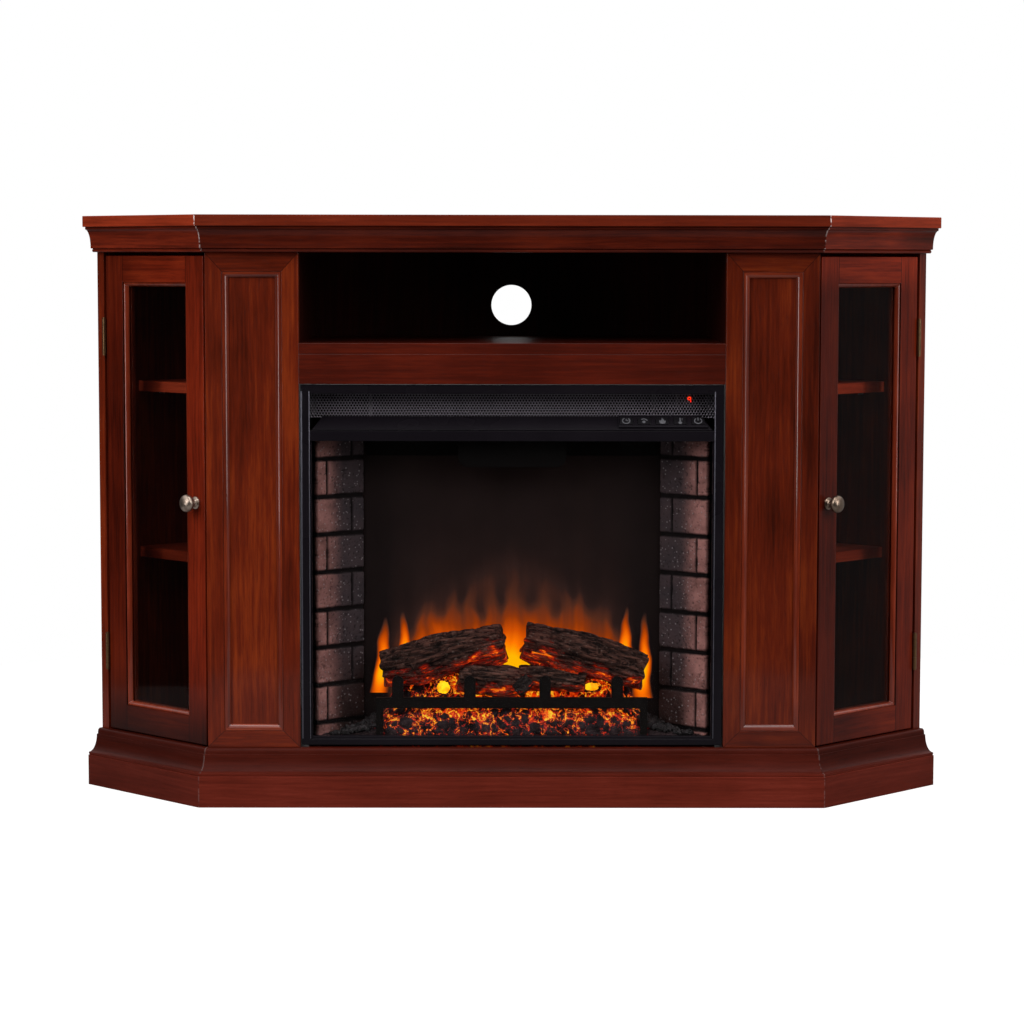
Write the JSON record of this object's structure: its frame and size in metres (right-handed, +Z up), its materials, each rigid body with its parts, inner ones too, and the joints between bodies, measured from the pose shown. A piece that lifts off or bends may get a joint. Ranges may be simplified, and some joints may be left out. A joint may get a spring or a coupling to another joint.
{
  "type": "corner fireplace",
  "caption": "Angled mahogany media mantel with glazed side doors, an open media bay and an electric log fire insert with brick sides, buttons and a warm-air outlet.",
  "frame": {"origin": "on the floor under the middle of the whole piece", "axes": "+Z is up, the front faces -Y, and +X runs to the right seen from the back towards the front's right-hand end in the picture"},
  "size_m": [1.2192, 0.4, 0.815],
  "materials": {
    "mahogany": "satin stained mahogany veneer",
    "mahogany_inner": "stained board inside and behind",
    "trim_black": "satin black powder coat",
    "grille_black": "satin black perforated sheet",
    "casing_steel": "plain galvanised sheet",
    "door_glass": "tinted",
    "front_glass": "clear",
    "knob_nickel": "antique nickel",
    "hinge_brass": "antique brass",
    "pin_nickel": "nickel plate",
    "catch_plastic": "brown moulding",
    "key_plastic": "gloss black with grey icons",
    "display_plastic": "dark window with red digits",
    "brick_moulding": "painted brick relief",
    "screen_plastic": "smoked diffusing screen",
    "ember_resin": "translucent resin, lit from below",
    "log_resin": "painted charred bark",
    "grate_iron": "matt black",
    "charcoal_resin": "charred lumps",
    "rotor_foil": "bright reflective vanes",
    "motor_steel": "plated",
    "light_board": "white board with amber lamps",
    "element_ceramic": "fired",
    "blower_aluminium": "plain",
    "gland_plastic": "black"
  },
  "bodies": {
    "cabinet": {"top_board": "mahogany", "crown_moulding": "mahogany", "front_rails": "mahogany", "base_frame": "mahogany_inner", "base_deck": "mahogany_inner", "plinth_moulding": "mahogany", "pilaster_frames": "mahogany", "pilaster_panels": "mahogany", "pilaster_beads": "mahogany", "media_shelf": "mahogany", "inner_partitions": "mahogany_inner", "end_panels": "mahogany", "back_panel": "mahogany_inner", "corner_posts": "mahogany_inner", "cabinet_shelves": "mahogany_inner", "shelf_pins": "pin_nickel", "magnet_catches": "catch_plastic", "case_hinge_leaves": "hinge_brass", "trim_frame": "trim_black", "outlet_grille": "grille_black", "air_deflector": "trim_black", "control_strip": "key_plastic", "display_module": "display_plastic", "front_glass": "front_glass", "firebox_casing": "casing_steel", "brick_panel_left": "brick_moulding", "brick_panel_right": "brick_moulding", "flame_screen": "screen_plastic", "firebox_hood": "trim_black", "ember_bed": "ember_resin", "log_left": "log_resin", "log_right": "log_resin", "small_logs": "log_resin", "log_grate": "grate_iron", "charcoal": "charcoal_resin", "rotor_motor": "motor_steel", "light_strip": "light_board", "heater_housing": "casing_steel", "heating_element": "element_ceramic", "blower_motor": "motor_steel", "cord_gland": "gland_plastic"},
    "door_left": {"door_frame_left": "mahogany", "door_beads_left": "mahogany", "door_glass_left": "door_glass", "door_knob_left": "knob_nickel", "door_hinge_leaves_left": "hinge_brass", "strike_plate_left": "pin_nickel"},
    "door_right": {"door_frame_right": "mahogany", "door_beads_right": "mahogany", "door_glass_right": "door_glass", "door_knob_right": "knob_nickel", "door_hinge_leaves_right": "hinge_brass", "strike_plate_right": "pin_nickel"},
    "timer_button": {"timer_key": "key_plastic"},
    "dimmer_button": {"dimmer_key": "key_plastic"},
    "flame_button": {"flame_key": "key_plastic"},
    "heat_button": {"heat_key": "key_plastic"},
    "power_button": {"power_key": "key_plastic"},
    "rotor": {"flame_rotor": "rotor_foil"},
    "blower": {"blower_wheel": "blower_aluminium"}
  },
  "joints": [
    {"name": "door_left_swing", "type": "hinge", "parent": "cabinet", "child": "door_left", "pos_m": [-0.58039, -0.01822, 0.42], "axis": [0, 0, -1], "range_deg": [0, 110]},
    {"name": "door_right_swing", "type": "hinge", "parent": "cabinet", "child": "door_right", "pos_m": [0.58039, -0.01822, 0.42], "axis": [0, 0, 1], "range_deg": [0, 110]},
    {"name": "timer_button_press", "type": "slide", "parent": "cabinet", "child": "timer_button", "axis": [0, 0.6536, -0.7568], "range_m": [0, 0.0008], "stiffness_N_per_m": 300, "springref_m": -0.0005},
    {"name": "dimmer_button_press", "type": "slide", "parent": "cabinet", "child": "dimmer_button", "axis": [0, 0.6536, -0.7568], "range_m": [0, 0.0008], "stiffness_N_per_m": 300, "springref_m": -0.0005},
    {"name": "flame_button_press", "type": "slide", "parent": "cabinet", "child": "flame_button", "axis": [0, 0.6536, -0.7568], "range_m": [0, 0.0008], "stiffness_N_per_m": 300, "springref_m": -0.0005},
    {"name": "heat_button_press", "type": "slide", "parent": "cabinet", "child": "heat_button", "axis": [0, 0.6536, -0.7568], "range_m": [0, 0.0008], "stiffness_N_per_m": 300, "springref_m": -0.0005},
    {"name": "power_button_press", "type": "slide", "parent": "cabinet", "child": "power_button", "axis": [0, 0.6536, -0.7568], "range_m": [0, 0.0008], "stiffness_N_per_m": 300, "springref_m": -0.0005},
    {"name": "flame_rotor_spin", "type": "hinge", "parent": "cabinet", "child": "rotor", "pos_m": [0, -0.053, 0.1515], "axis": [1, 0, 0], "continuous": true},
    {"name": "blower_spin", "type": "hinge", "parent": "cabinet", "child": "blower", "pos_m": [0, -0.071, 0.545], "axis": [1, 0, 0], "continuous": true}
  ]
}
